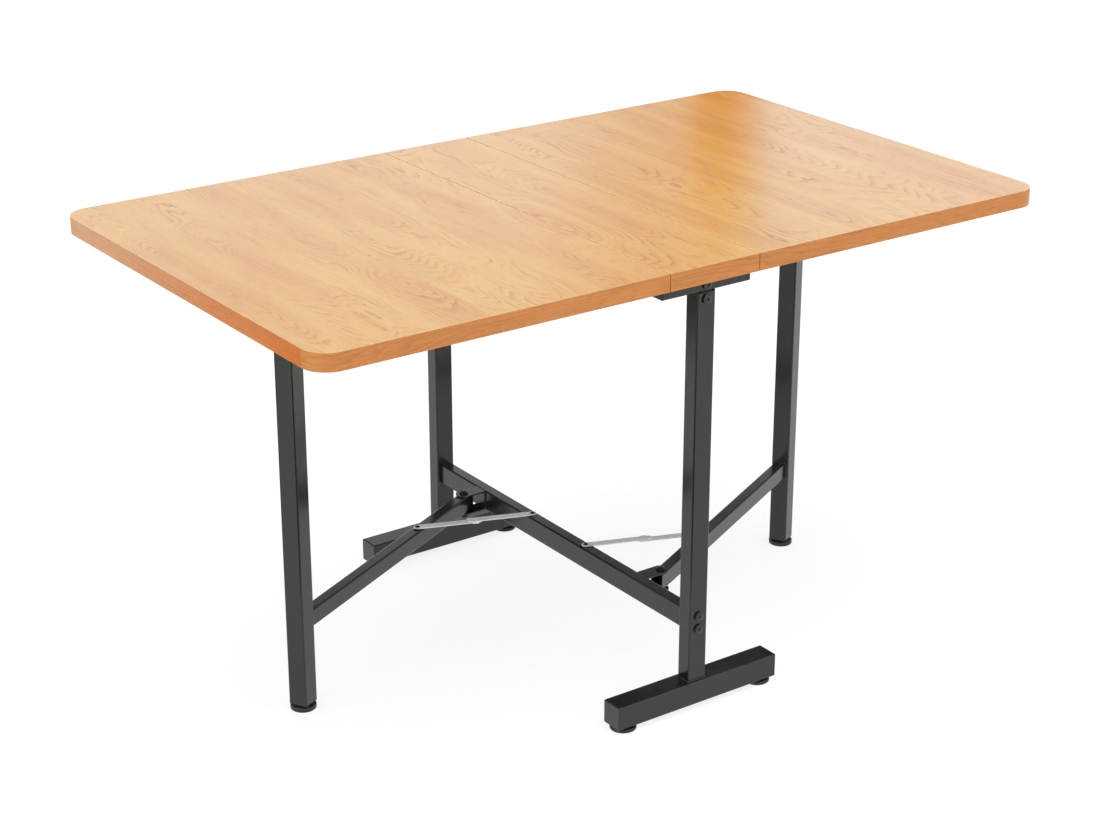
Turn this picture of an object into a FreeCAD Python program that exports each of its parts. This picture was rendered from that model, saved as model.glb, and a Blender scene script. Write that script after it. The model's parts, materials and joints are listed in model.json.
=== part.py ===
"""Gate-leg folding table: a fixed centre board on two T-shaped stands, two hinged leaves,
and two swinging gate legs that each hold up one leaf and lock with a two-link stay.

Millimetres. Z is up, X runs along the table, Y across it, and the origin is on the floor
under the middle of the top. Left is -X, right is +X, near is -Y and far is +Y. Everything
under the top repeats by a half turn about Z, so each piece is made once, for the left or
near side, and copied.
"""
import FreeCAD, Part
import math
import os

Vector = FreeCAD.Vector

# Table top
top_length = 1360.0
top_width = 796.0
top_height = 750.0
board_thickness = 28.0
centre_board_width = 168.0
seam_gap = 1.5
corner_radius = 41.0
band_thickness = 2.0
band_edge_round = 0.5

# Stands: a post on a foot, with a rail under the centre board
post_width = 34.5
post_depth = 28.0
post_inset = 19.5
foot_length = 318.0
foot_width = 40.0
foot_height = 40.0
rail_height = 20.0
rail_length = 168.0
tube_wall = 1.5
tube_corner_radius = 2.6
post_top_slot = 2.2

# Stretcher between the posts
stretcher_width = 21.5
stretcher_height = 36.0
stretcher_top = 168.0
insert_length = 32.0

# Gate legs
pivot_offset = 47.0
pivot_station = 220.5
arm_reach = 523.0
arm_open_angle = 27.0
arm_width = 20.5
arm_height = 29.0
arm_tail = 15.0
leg_size = 32.5
leaf_rest_gap = 0.3

# Bracket and pivot of a gate leg
bracket_plate = 2.5
bracket_width = 28.0
sleeve_wall = 2.0
pivot_bolt_diameter = 8.0
pivot_head_diameter = 16.0
pivot_head_edge = 1.6
pivot_head_rise = 3.0
nut_width = 13.0
nut_height = 6.5
thread_end = 2.5

# Folding stay of a gate leg
stay_anchor_station = 77.5
stay_arm_reach = 159.0
inner_link_length = 110.0
link_width = 14.0
link_thickness = 2.0
link_edge_round = 0.5
link_gap = 0.25
stay_lift = 1.6
stay_tail = 21.0
stop_lip_length = 11.0
stop_lip_thickness = 1.8
stop_lip_gap = 0.3
stay_rivet_diameter = 5.0
stay_collar_diameter = 9.0
stay_head_diameter = 8.0
stay_head_edge = 0.7
stay_head_rise = 1.1
stay_end_gap = 0.3

# Butt hinges under the seams
hinge_station_shares = (-0.27, 0.0, 0.27)
hinge_length = 64.0
hinge_plate_width = 27.0
hinge_plate_thickness = 1.8
barrel_diameter = 7.0
barrel_drop = 0.4
hinge_pin_diameter = 4.0
knuckle_count = 5
knuckle_gap = 0.3
barrel_clearance = 0.6
hinge_screw_share = 0.62
hinge_screw_spread_shares = (-0.34, 0.0, 0.34)

# Fasteners
bolt_diameter = 6.0
bolt_head_diameter = 16.0
bolt_head_edge = 2.8
bolt_head_rise = 1.4
socket_width = 4.0
socket_depth = 1.6
stretcher_bolt_spacing = 22.0
rail_bolt_rise = 10.5
post_bolt_drop = 12.5
strap_width = 22.0
strap_thickness = 5.0
strap_drop = 32.0
screw_diameter = 3.6
screw_head_diameter = 7.0
screw_head_height = 2.2
screw_length = 18.0
screw_tip = 4.0
rail_screw_share = 0.33
access_hole_diameter = 11.0

# Plugs, caps and glides
cap_thickness = 3.0
cap_edge_round = 1.6
plug_depth = 20.0
foot_glide_diameter = 43.0
foot_glide_height = 8.5
foot_glide_inset = 23.0
leg_glide_diameter = 42.0
leg_glide_height = 11.0
glide_neck_height = 2.6
glide_neck_diameter = 26.0
glide_edge_round = 2.0
glide_stem_diameter = 8.0
glide_stem_length = 12.0

# Fits
slip_fit = 0.05
running_fit = 0.08
plug_fit = 0.1
pivot_end_play = 0.1
arm_ear_gap = 0.5
overrun = 1.0
same_place = 0.001

# Places worked out from the sizes above
board_bottom = top_height - board_thickness
leaf_inner_edge = centre_board_width / 2 + seam_gap
hinge_axis_x = centre_board_width / 2 + seam_gap / 2
hinge_axis_z = board_bottom - barrel_drop - barrel_diameter / 2
post_outer = top_width / 2 - post_inset
post_middle = post_outer - post_depth / 2
post_inner = post_outer - post_depth
foot_bottom = foot_glide_height
foot_top = foot_bottom + foot_height
rail_bottom = board_bottom - rail_height
stretcher_bottom = stretcher_top - stretcher_height
stretcher_middle = stretcher_top - stretcher_height / 2
ear_gap_top = stretcher_top - bracket_plate
ear_gap_bottom = stretcher_bottom + bracket_plate
arm_top = ear_gap_top - arm_ear_gap
arm_bottom = arm_top - arm_height
sleeve_diameter = pivot_bolt_diameter + 2 * (running_fit + sleeve_wall)
outer_link_bottom = arm_top + stay_lift
inner_link_bottom = outer_link_bottom + link_thickness + link_gap
leg_plug_top = board_bottom - leaf_rest_gap
gate_turn = 180.0 + arm_open_angle
pivot = Vector(-pivot_offset, pivot_station, 0)
up = Vector(0, 0, 1)


def slab(x0, x1, y0, y1, z0, z1):
    """Box between two opposite corners."""
    return Part.makeBox(x1 - x0, y1 - y0, z1 - z0, Vector(x0, y0, z0))


def rod(diameter, x, y, z0, z1):
    """Upright cylinder."""
    return Part.makeCylinder(diameter / 2, z1 - z0, Vector(x, y, z0))


def bar_along_y(diameter, x, z, y0, y1):
    """Cylinder that lies along Y."""
    return Part.makeCylinder(diameter / 2, y1 - y0, Vector(x, y0, z), Vector(0, 1, 0))


def outline(x0, x1, y0, y1, radii):
    """Flat face of a rectangle. The corner radii go round from the lower left, and may be zero."""
    corners = [(x0, y0, 1, 1), (x1, y0, -1, 1), (x1, y1, -1, -1), (x0, y1, 1, -1)]
    half = math.sqrt(0.5)
    edges = []
    ends = []
    for index, (x, y, inward_x, inward_y) in enumerate(corners):
        r = radii[index]
        on_x = Vector(x + inward_x * r, y, 0)
        on_y = Vector(x, y + inward_y * r, 0)
        first, last = (on_y, on_x) if index % 2 == 0 else (on_x, on_y)
        ends.append((first, last))
        if r > 0:
            cut_in = r - r * half
            middle = Vector(x + inward_x * cut_in, y + inward_y * cut_in, 0)
            edges.append(Part.Arc(first, middle, last).toShape())
    for index in range(len(corners)):
        last = ends[index][1]
        first = ends[(index + 1) % len(corners)][0]
        edges.append(Part.makeLine(last, first))
    return Part.Face(Part.Wire(Part.__sortEdges__(edges)))


def prism(x0, x1, y0, y1, z0, z1, radii):
    """Upright block with rounded upright corners."""
    block = outline(x0, x1, y0, y1, radii).extrude(Vector(0, 0, z1 - z0))
    block.translate(Vector(0, 0, z0))
    return block


def rounded_bar(width, depth, z0, z1, radius):
    """Upright solid bar on the Z axis, with one radius at its four long edges."""
    return prism(-width / 2, width / 2, -depth / 2, depth / 2, z0, z1, [radius] * 4)


def tube(width, depth, z0, z1):
    """Upright rectangular steel tube on the Z axis, open at both ends."""
    inside = rounded_bar(width - 2 * tube_wall, depth - 2 * tube_wall, z0 - overrun, z1 + overrun,
                         max(tube_corner_radius - tube_wall, 0))
    return rounded_bar(width, depth, z0, z1, tube_corner_radius).cut(inside)


def laid_along_x(shape):
    """Turns an upright piece so that its length lies along X and its width stands up."""
    turned = shape.copy()
    turned.rotate(Vector(0, 0, 0), Vector(0, 1, 0), 90)
    return turned


def laid_along_y(shape):
    """Turns an upright piece so that its length lies along Y and its depth stands up."""
    turned = shape.copy()
    turned.rotate(Vector(0, 0, 0), Vector(1, 0, 0), -90)
    return turned


def moved(shape, x, y, z):
    """Copy of a shape, moved."""
    copy = shape.copy()
    copy.translate(Vector(x, y, z))
    return copy


def half_turn(shape):
    """Copy of a shape, turned half round about the table's middle."""
    copy = shape.copy()
    copy.rotate(Vector(0, 0, 0), up, 180)
    return copy


def on_gate(shape):
    """Puts a piece drawn on the left gate's own axes, pivot to leg along X, in its open place."""
    copy = shape.copy()
    copy.rotate(Vector(0, 0, 0), up, gate_turn)
    copy.translate(pivot)
    return copy


def edges_at(shape, height):
    """Edges that lie level at one height."""
    return [e for e in shape.Edges if all(abs(v.Z - height) < same_place for v in e.Vertexes)]


def softened(shape, radius, *heights):
    """Rounds all edges that lie at the given heights."""
    edges = []
    for height in heights:
        edges.extend(edges_at(shape, height))
    return shape.makeFillet(radius, edges)


def hexagon(width, z0, z1):
    """Upright hexagonal prism on the Z axis, with its width across the flats."""
    corner = width / math.sqrt(3)
    turns = [math.radians(60 * step) for step in range(7)]
    points = [Vector(corner * math.cos(t), corner * math.sin(t), z0) for t in turns]
    return Part.Face(Part.makePolygon(points)).extrude(Vector(0, 0, z1 - z0))


def domed_head(diameter, edge, rise):
    """Round bolt head that stands on z = 0, with a straight edge and a domed top."""
    radius = diameter / 2
    sphere = (radius * radius + rise * rise) / (2 * rise)
    spread = math.asin(radius / sphere) / 2
    middle = Vector(sphere * math.sin(spread), 0, edge + rise - sphere + sphere * math.cos(spread))
    axis_low = Vector(0, 0, 0)
    rim_low = Vector(radius, 0, 0)
    rim_high = Vector(radius, 0, edge)
    crown = Vector(0, 0, edge + rise)
    dome = Part.Arc(rim_high, middle, crown).toShape()
    sides = [Part.makeLine(axis_low, rim_low), Part.makeLine(rim_low, rim_high), dome,
             Part.makeLine(crown, axis_low)]
    return Part.Face(Part.Wire(sides)).revolve(Vector(0, 0, 0), up, 360)


def socket_bolt(length):
    """Bolt with a flat domed head and a hexagon socket. The head sits on z = 0, the shank hangs below."""
    crown = bolt_head_edge + bolt_head_rise
    head = domed_head(bolt_head_diameter, bolt_head_edge, bolt_head_rise)
    socket = hexagon(socket_width, crown - socket_depth, crown + overrun)
    return head.cut(socket).fuse(rod(bolt_diameter, 0, 0, -length, 0)).removeSplitter()


def wood_screw(x, y, z):
    """Countersunk screw that points up, with its flat head at height z."""
    shank_top = screw_length - screw_tip
    head = Part.makeCone(screw_head_diameter / 2, screw_diameter / 2, screw_head_height)
    shank = rod(screw_diameter, 0, 0, screw_head_height, shank_top)
    tip = Part.makeCone(screw_diameter / 2, 0, screw_tip, Vector(0, 0, shank_top))
    return moved(head.fuse([shank, tip]).removeSplitter(), x, y, z)


def screw_hole(x, y, z):
    """Space that a wood screw takes up, with its fit."""
    head_radius = screw_head_diameter / 2 + slip_fit
    shank_radius = screw_diameter / 2 + slip_fit
    sink = Part.makeCone(head_radius, shank_radius, screw_head_height)
    bore = rod(2 * shank_radius, 0, 0, 0, screw_length + overrun)
    return moved(sink.fuse(bore), x, y, z)


# Hinges, drawn for the left seam

def hinge_stations():
    """Places of the hinges along a seam."""
    return [share * top_width for share in hinge_station_shares]


def hinge_screw_places(side):
    """Screw places of the hinge plates on one side of the left seam. Side 1 is the centre board's."""
    x = -hinge_axis_x + side * hinge_plate_width * hinge_screw_share
    spreads = [share * hinge_length for share in hinge_screw_spread_shares]
    return [(x, station + spread) for station in hinge_stations() for spread in spreads]


def hinge_screw_level():
    """Height of the flat heads of the hinge screws."""
    return board_bottom - hinge_plate_thickness


def knuckles(station, side):
    """Y ranges of the barrel knuckles of one plate. The centre board's plate has the two ends."""
    pitch = hinge_length / knuckle_count
    first = 0 if side > 0 else 1
    start = station - hinge_length / 2
    return [(start + i * pitch, start + (i + 1) * pitch) for i in range(first, knuckle_count, 2)]


def hinge_plate(station, side):
    """One hinge plate with its knuckles and countersunk holes."""
    x0, x1 = sorted((-hinge_axis_x, -hinge_axis_x + side * hinge_plate_width))
    y0 = station - hinge_length / 2
    y1 = station + hinge_length / 2
    plate = slab(x0, x1, y0, y1, board_bottom - hinge_plate_thickness, board_bottom)
    reach = barrel_diameter / 2 + barrel_clearance
    for low, high in knuckles(station, -side):
        plate = plate.cut(slab(-hinge_axis_x - reach, -hinge_axis_x + reach, low - knuckle_gap / 2,
                               high + knuckle_gap / 2, hinge_axis_z - reach, board_bottom + overrun))
    barrels = [bar_along_y(barrel_diameter, -hinge_axis_x, hinge_axis_z, low + knuckle_gap / 2,
                           high - knuckle_gap / 2) for low, high in knuckles(station, side)]
    bore = bar_along_y(hinge_pin_diameter + 2 * running_fit, -hinge_axis_x, hinge_axis_z, y0 - overrun,
                       y1 + overrun)
    plate = plate.fuse(barrels).cut(bore)
    for x, y in hinge_screw_places(side):
        if y0 < y < y1:
            plate = plate.cut(screw_hole(x, y, hinge_screw_level()))
    return plate.removeSplitter()


def hinge_plates(side):
    """All hinge plates on one side of the left seam."""
    return [hinge_plate(station, side) for station in hinge_stations()]


def hinge_pins():
    """Pins of the left seam's hinges."""
    return [bar_along_y(hinge_pin_diameter, -hinge_axis_x, hinge_axis_z, station - hinge_length / 2,
                        station + hinge_length / 2) for station in hinge_stations()]


def hinge_screws(side):
    """Screws of the hinge plates on one side of the left seam."""
    return [wood_screw(x, y, hinge_screw_level()) for x, y in hinge_screw_places(side)]


# Table top

def board_core(x0, x1, radii, spare=0):
    """Board inside its edge band. The spare makes it taller at both faces."""
    inner = [max(r - band_thickness, 0) for r in radii]
    return prism(x0 + band_thickness, x1 - band_thickness, -top_width / 2 + band_thickness,
                 top_width / 2 - band_thickness, board_bottom - spare, top_height + spare, inner)


def edge_band(x0, x1, radii):
    """Band round a board, with its outer edges eased."""
    outer = prism(x0, x1, -top_width / 2, top_width / 2, board_bottom, top_height, radii)
    outer = softened(outer, band_edge_round, board_bottom, top_height)
    return outer.cut(board_core(x0, x1, radii, overrun))


def rail_screw_places():
    """Screws that hold the near rail to the centre board."""
    return [(sign * rail_screw_share * rail_length, -post_middle) for sign in (-1, 1)]


def rail_screw_level():
    """Height of the flat heads of these screws, which are sunk in the upper wall of the rail."""
    return board_bottom - screw_head_height


def centre_board():
    """Fixed board in the middle, with its pilot holes."""
    board = board_core(-centre_board_width / 2, centre_board_width / 2, [0] * 4)
    holes = [screw_hole(x, y, hinge_screw_level()) for x, y in hinge_screw_places(1)]
    holes += [screw_hole(x, y, rail_screw_level()) for x, y in rail_screw_places()]
    holes += [half_turn(hole) for hole in holes]
    return board.cut(holes)


leaf_ends = (-top_length / 2, -leaf_inner_edge)
leaf_radii = [corner_radius, 0, 0, corner_radius]


def left_leaf_board():
    """Hinged leaf on the left, with its pilot holes."""
    board = board_core(*leaf_ends, leaf_radii)
    return board.cut([screw_hole(x, y, hinge_screw_level()) for x, y in hinge_screw_places(-1)])


# Stands, drawn for the near end

def stretcher_bolt_levels():
    """Heights of the two bolts that hold the stretcher to a post."""
    return [stretcher_middle + sign * stretcher_bolt_spacing / 2 for sign in (-1, 1)]


def rail_bolt_level():
    """Height of the bolt through the outer wall of a rail."""
    return rail_bottom + rail_bolt_rise


def post_bolt_level():
    """Height of the bolt at the top of a post."""
    return rail_bottom - post_bolt_drop


def bolt_hole(level, y0, y1):
    """Clear hole for a bolt along Y, on the table's middle line."""
    return bar_along_y(bolt_diameter + 2 * slip_fit, 0, level, y0, y1)


def near_post():
    """Upright tube with a slot at the top of its outer wall and its bolt holes."""
    post = moved(tube(post_width, post_depth, foot_top, rail_bottom), 0, -post_middle, 0)
    outer_wall = -post_outer + tube_wall
    slot = slab(-post_width / 2 - overrun, post_width / 2 + overrun, -post_outer - overrun, outer_wall,
                rail_bottom - post_top_slot, rail_bottom + overrun)
    holes = [bolt_hole(post_bolt_level(), -post_outer - overrun, outer_wall + overrun)]
    for level in stretcher_bolt_levels():
        holes.append(bolt_hole(level, -post_outer - overrun, -post_inner + overrun))
    return post.cut([slot] + holes)


def strap_back():
    """Y of the strap's inner face. Its outer face lies on the outer walls of post and rail."""
    return -post_outer + tube_wall + strap_thickness


def near_joint_strap():
    """Flat steel strap inside, which ties the post to the rail with two bolts."""
    strap = slab(-strap_width / 2, strap_width / 2, -post_outer + tube_wall, strap_back(),
                 rail_bottom - strap_drop, board_bottom - tube_wall - plug_fit)
    levels = (rail_bolt_level(), post_bolt_level())
    return strap.cut([bolt_hole(level, -post_outer, strap_back() + overrun) for level in levels])


def near_top_rail():
    """Tube across the top of a post, screwed to the centre board from below."""
    rail = laid_along_x(tube(rail_height, post_depth, -rail_tube_reach(), rail_tube_reach()))
    rail = moved(rail, 0, -post_middle, rail_bottom + rail_height / 2)
    passage = slab(-strap_width / 2 - plug_fit, strap_width / 2 + plug_fit, -post_outer + tube_wall,
                   strap_back() + plug_fit, rail_bottom - overrun, rail_bottom + tube_wall + overrun)
    cuts = [passage, bolt_hole(rail_bolt_level(), -post_outer - overrun, -post_outer + tube_wall + overrun)]
    lower_wall = rail_bottom + tube_wall
    for x, y in rail_screw_places():
        cuts.append(screw_hole(x, y, rail_screw_level()))
        cuts.append(rod(access_hole_diameter, x, y, rail_bottom - overrun, lower_wall + overrun))
    return rail.cut(cuts)


def bolts_outside(levels, length):
    """Bolts in the outer face of the near stand."""
    bolts = []
    for level in levels:
        bolt = socket_bolt(length)
        bolt.rotate(Vector(0, 0, 0), Vector(1, 0, 0), 90)
        bolts.append(moved(bolt, 0, -post_outer, level))
    return bolts


def near_rail_bolts():
    """Bolts of the strap, one in the rail and one in the post."""
    return bolts_outside((rail_bolt_level(), post_bolt_level()), tube_wall + strap_thickness)


def near_stretcher_bolts():
    """Bolts through the post into the end of the stretcher."""
    return bolts_outside(stretcher_bolt_levels(), post_depth + insert_length / 2)


def end_plug(width, depth):
    """Moulded plug that stands on z = 0: a face as wide as its tube, and a body that hangs in the tube."""
    face = rounded_bar(width, depth, 0, cap_thickness, tube_corner_radius)
    face = softened(face, cap_edge_round, cap_thickness)
    side = 2 * (tube_wall + plug_fit)
    body = rounded_bar(width - side, depth - side, -plug_depth, 0, max(tube_corner_radius - tube_wall, 0))
    return face.fuse(body).removeSplitter()


def plugs_along_x(height, depth, reach, y, z):
    """Two end plugs of a tube that lies along X."""
    right = moved(laid_along_x(end_plug(height, depth)), reach, 0, 0)
    left = right.copy()
    left.rotate(Vector(0, 0, 0), up, 180)
    return [moved(plug, 0, y, z) for plug in (left, right)]


def rail_tube_reach():
    """Half of the rail's tube, inside its end plugs."""
    return rail_length / 2 - cap_thickness


def foot_tube_reach():
    """Half of the foot's tube, inside its end plugs."""
    return foot_length / 2 - cap_thickness


def foot_glide_places():
    """Glides under the near foot."""
    reach = foot_length / 2 - foot_glide_inset
    return [(-reach, -post_middle), (reach, -post_middle)]


def near_foot():
    """Foot tube across the bottom of a post."""
    foot = laid_along_x(tube(foot_height, foot_width, -foot_tube_reach(), foot_tube_reach()))
    foot = moved(foot, 0, -post_middle, foot_bottom + foot_height / 2)
    holes = [rod(glide_stem_diameter + 2 * slip_fit, x, y, foot_bottom - overrun,
                 foot_bottom + tube_wall + overrun) for x, y in foot_glide_places()]
    return foot.cut(holes)


def glide_disc(diameter, height):
    """Round foot with a narrower neck. It stands on z = 0, and its neck ends at the given height."""
    disc_top = height - glide_neck_height
    disc = softened(rod(diameter, 0, 0, 0, disc_top), glide_edge_round, 0, disc_top)
    return disc.fuse(rod(glide_neck_diameter, 0, 0, disc_top, height))


def foot_glide(x, y):
    """Glide with a stem that is pushed into the foot."""
    stem = rod(glide_stem_diameter, 0, 0, foot_glide_height, foot_glide_height + glide_stem_length)
    disc = glide_disc(foot_glide_diameter, foot_glide_height)
    return moved(disc.fuse(stem).removeSplitter(), x, y, 0)


def foot_end_plugs():
    """End plugs of the near foot. They clear the glide stems."""
    foot_middle = foot_bottom + foot_height / 2
    plugs = plugs_along_x(foot_height, foot_width, foot_tube_reach(), -post_middle, foot_middle)
    stem_end = foot_glide_height + glide_stem_length
    room = [rod(glide_stem_diameter + 2 * plug_fit, x, y, foot_bottom, stem_end + overrun)
            for x, y in foot_glide_places()]
    return [plug.cut(room) for plug in plugs]


# Stretcher

def stay_anchor():
    """Place of the left stay's anchor on the middle line of the stretcher."""
    return Vector(0, stay_anchor_station, 0)


def stretcher():
    """Tube between the posts, with holes for the stay anchors."""
    beam = laid_along_y(tube(stretcher_width, stretcher_height, -post_inner, post_inner))
    beam = moved(beam, 0, 0, stretcher_middle)
    place = stay_anchor()
    hole = rod(stay_rivet_diameter + 2 * slip_fit, place.x, place.y, stretcher_top - tube_wall - overrun,
               stretcher_top + overrun)
    return beam.cut([hole, half_turn(hole)])


def near_stretcher_insert():
    """Steel block in the end of the stretcher that takes the bolts."""
    side = 2 * (tube_wall + slip_fit)
    inner_end = insert_length - post_inner
    block = rounded_bar(stretcher_width - side, stretcher_height - side, -post_inner, inner_end,
                        max(tube_corner_radius - tube_wall, 0))
    block = moved(laid_along_y(block), 0, 0, stretcher_middle)
    return block.cut([bolt_hole(level, -post_inner - overrun, inner_end + overrun)
                      for level in stretcher_bolt_levels()])


# Gate legs, drawn for the left side

def left_gate_bracket():
    """Bracket with two ears, welded to the side of the stretcher."""
    face = -stretcher_width / 2
    tongue = slab(pivot.x, face, pivot.y - bracket_width / 2, pivot.y + bracket_width / 2, stretcher_bottom,
                  stretcher_top)
    block = tongue.fuse(rod(bracket_width, pivot.x, pivot.y, stretcher_bottom, stretcher_top))
    room = slab(pivot.x - bracket_width, face - bracket_plate, pivot.y - bracket_width,
                pivot.y + bracket_width, ear_gap_bottom, ear_gap_top)
    bore = rod(pivot_bolt_diameter + 2 * slip_fit, pivot.x, pivot.y, stretcher_bottom - overrun,
               stretcher_top + overrun)
    return block.cut([room, bore]).removeSplitter()


def left_pivot_bolt():
    """Bolt that the gate turns on, with its head on the upper ear."""
    head = domed_head(pivot_head_diameter, pivot_head_edge, pivot_head_rise)
    head = moved(head, pivot.x, pivot.y, stretcher_top)
    shank_end = stretcher_bottom - nut_height - thread_end
    shank = rod(pivot_bolt_diameter, pivot.x, pivot.y, shank_end, stretcher_top)
    return head.fuse(shank).removeSplitter()


def left_pivot_nut():
    """Nut under the lower ear."""
    nut = moved(hexagon(nut_width, stretcher_bottom - nut_height, stretcher_bottom), pivot.x, pivot.y, 0)
    return nut.cut(rod(pivot_bolt_diameter + 2 * slip_fit, pivot.x, pivot.y, 0, stretcher_top))


def gate_arm():
    """Arm from the pivot to the leg, on the gate's own axes."""
    arm = laid_along_x(tube(arm_height, arm_width, -arm_tail, arm_reach - leg_size / 2))
    arm = moved(arm, 0, 0, arm_bottom + arm_height / 2)
    return arm.cut(rod(sleeve_diameter + 2 * slip_fit, 0, 0, arm_bottom - overrun, arm_top + overrun))


def pivot_sleeve():
    """Sleeve in the end of the arm that turns on the pivot bolt and bears on the ears."""
    low = ear_gap_bottom + pivot_end_play
    high = ear_gap_top - pivot_end_play
    bore = rod(pivot_bolt_diameter + 2 * running_fit, 0, 0, low - overrun, high + overrun)
    return rod(sleeve_diameter, 0, 0, low, high).cut(bore)


def gate_leg():
    """Square leg at the end of the arm."""
    return moved(tube(leg_size, leg_size, leg_glide_height, leg_plug_top - cap_thickness), arm_reach, 0, 0)


def leg_top_plug():
    """Plug in the top of the leg that the leaf rests on."""
    return moved(end_plug(leg_size, leg_size), arm_reach, 0, leg_plug_top - cap_thickness)


def leg_glide():
    """Plug in the bottom of the leg, with a round foot."""
    side = 2 * (tube_wall + plug_fit)
    body = rounded_bar(leg_size - side, leg_size - side, leg_glide_height, leg_glide_height + plug_depth,
                       max(tube_corner_radius - tube_wall, 0))
    disc = glide_disc(leg_glide_diameter, leg_glide_height)
    return moved(disc.fuse(body).removeSplitter(), arm_reach, 0, 0)


# Stays, drawn for the left side on their own axes: the elbow is the origin, X points to the anchor

def stay_arm_point():
    """Place on the open arm where the stay ends."""
    turn = math.radians(gate_turn)
    return pivot.add(Vector(stay_arm_reach * math.cos(turn), stay_arm_reach * math.sin(turn), 0))


def stay_span():
    """Straight length of the open stay."""
    return stay_arm_point().distanceToPoint(stay_anchor())


def outer_link_length():
    """The outer link takes up what the inner one leaves, so that the open stay is straight."""
    return stay_span() - inner_link_length


def on_stay(shape):
    """Puts a piece drawn on the stay's own axes in its open place."""
    towards = stay_anchor().sub(stay_arm_point())
    elbow = stay_arm_point().add(Vector(towards).multiply(outer_link_length() / stay_span()))
    copy = shape.copy()
    copy.rotate(Vector(0, 0, 0), up, math.degrees(math.atan2(towards.y, towards.x)))
    copy.translate(elbow)
    return copy


def link_bar(x0, x1, level):
    """Flat link with round ends centred on x0 and x1."""
    r = link_width / 2
    near_side = Part.makeLine(Vector(x0, -r, level), Vector(x1, -r, level))
    anchor_end = Part.Arc(Vector(x1, -r, level), Vector(x1 + r, 0, level), Vector(x1, r, level)).toShape()
    far_side = Part.makeLine(Vector(x1, r, level), Vector(x0, r, level))
    arm_end = Part.Arc(Vector(x0, r, level), Vector(x0 - r, 0, level), Vector(x0, -r, level)).toShape()
    face = Part.Face(Part.Wire([near_side, anchor_end, far_side, arm_end]))
    bar = face.extrude(Vector(0, 0, link_thickness))
    return softened(bar, link_edge_round, level, level + link_thickness)


def pin_hole(x):
    """Running hole for a rivet in a link."""
    return rod(stay_rivet_diameter + 2 * running_fit, x, 0, 0, top_height)


def inner_link():
    """Link from the elbow to the anchor on the stretcher. It lies on the outer link."""
    return link_bar(0, inner_link_length, inner_link_bottom).cut([pin_hole(0), pin_hole(inner_link_length)])


def outer_link():
    """Link from the elbow to the arm, with a tail past the elbow and a stop lip on the near side."""
    tail_end = stay_tail - link_width / 2
    far_end = -outer_link_length()
    bar = link_bar(far_end, tail_end, outer_link_bottom)
    lip_near = -link_width / 2 - stop_lip_gap
    lip_x0 = tail_end - stop_lip_length
    foot = slab(lip_x0, tail_end, lip_near - stop_lip_thickness, 0, outer_link_bottom,
                outer_link_bottom + link_thickness)
    lip = slab(lip_x0, tail_end, lip_near - stop_lip_thickness, lip_near, outer_link_bottom,
               inner_link_bottom + link_thickness)
    return bar.fuse([foot, lip]).cut([pin_hole(0), pin_hole(far_end)]).removeSplitter()


def stay_head(x, level):
    """Round head on top of a link."""
    return moved(domed_head(stay_head_diameter, stay_head_edge, stay_head_rise), x, 0, level)


def elbow_rivet():
    """Rivet that joins the two links. The inner link carries it."""
    top = inner_link_bottom + link_thickness
    low = outer_link_bottom - link_gap
    shank = rod(stay_rivet_diameter, 0, 0, low, top)
    tail = rod(stay_head_diameter, 0, 0, low - stay_head_edge, low)
    return stay_head(0, top).fuse([shank, tail]).removeSplitter()


def anchor_screw():
    """Shouldered screw on the stretcher that the inner link turns on."""
    x = inner_link_length
    head_level = inner_link_bottom + link_thickness + link_gap
    collar = rod(stay_collar_diameter, x, 0, stretcher_top, inner_link_bottom - link_gap)
    shank = rod(stay_rivet_diameter, x, 0, stretcher_top - tube_wall, head_level)
    return stay_head(x, head_level).fuse([collar, shank]).removeSplitter()


def arm_screw():
    """Shouldered screw at the arm end of the outer link. It ends just above the arm."""
    x = -outer_link_length()
    head_level = outer_link_bottom + link_thickness
    collar = rod(stay_collar_diameter, x, 0, arm_top + stay_end_gap, outer_link_bottom)
    shank = rod(stay_rivet_diameter, x, 0, outer_link_bottom, head_level)
    return stay_head(x, head_level).fuse([collar, shank]).removeSplitter()


def write(name, shapes):
    """Writes one node: a solid, or a group of separate solids."""
    shape = shapes[0] if len(shapes) == 1 else Part.makeCompound(shapes)
    for solid in shape.Solids:
        if not solid.isValid():
            raise RuntimeError("bad solid in " + name)
    if len(shape.Solids) != len(shapes):
        raise RuntimeError("pieces of " + name + " are not one solid each")
    shape.exportStep("parts/" + name + ".step")


def write_both(first, second, name, shapes):
    """Writes a piece and its half-turned copy, as a node each."""
    write(first + "_" + name, shapes)
    write(second + "_" + name, [half_turn(shape) for shape in shapes])


def write_shared(name, shapes):
    """Writes like pieces of both sides as one node."""
    write(name, shapes + [half_turn(shape) for shape in shapes])


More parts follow.
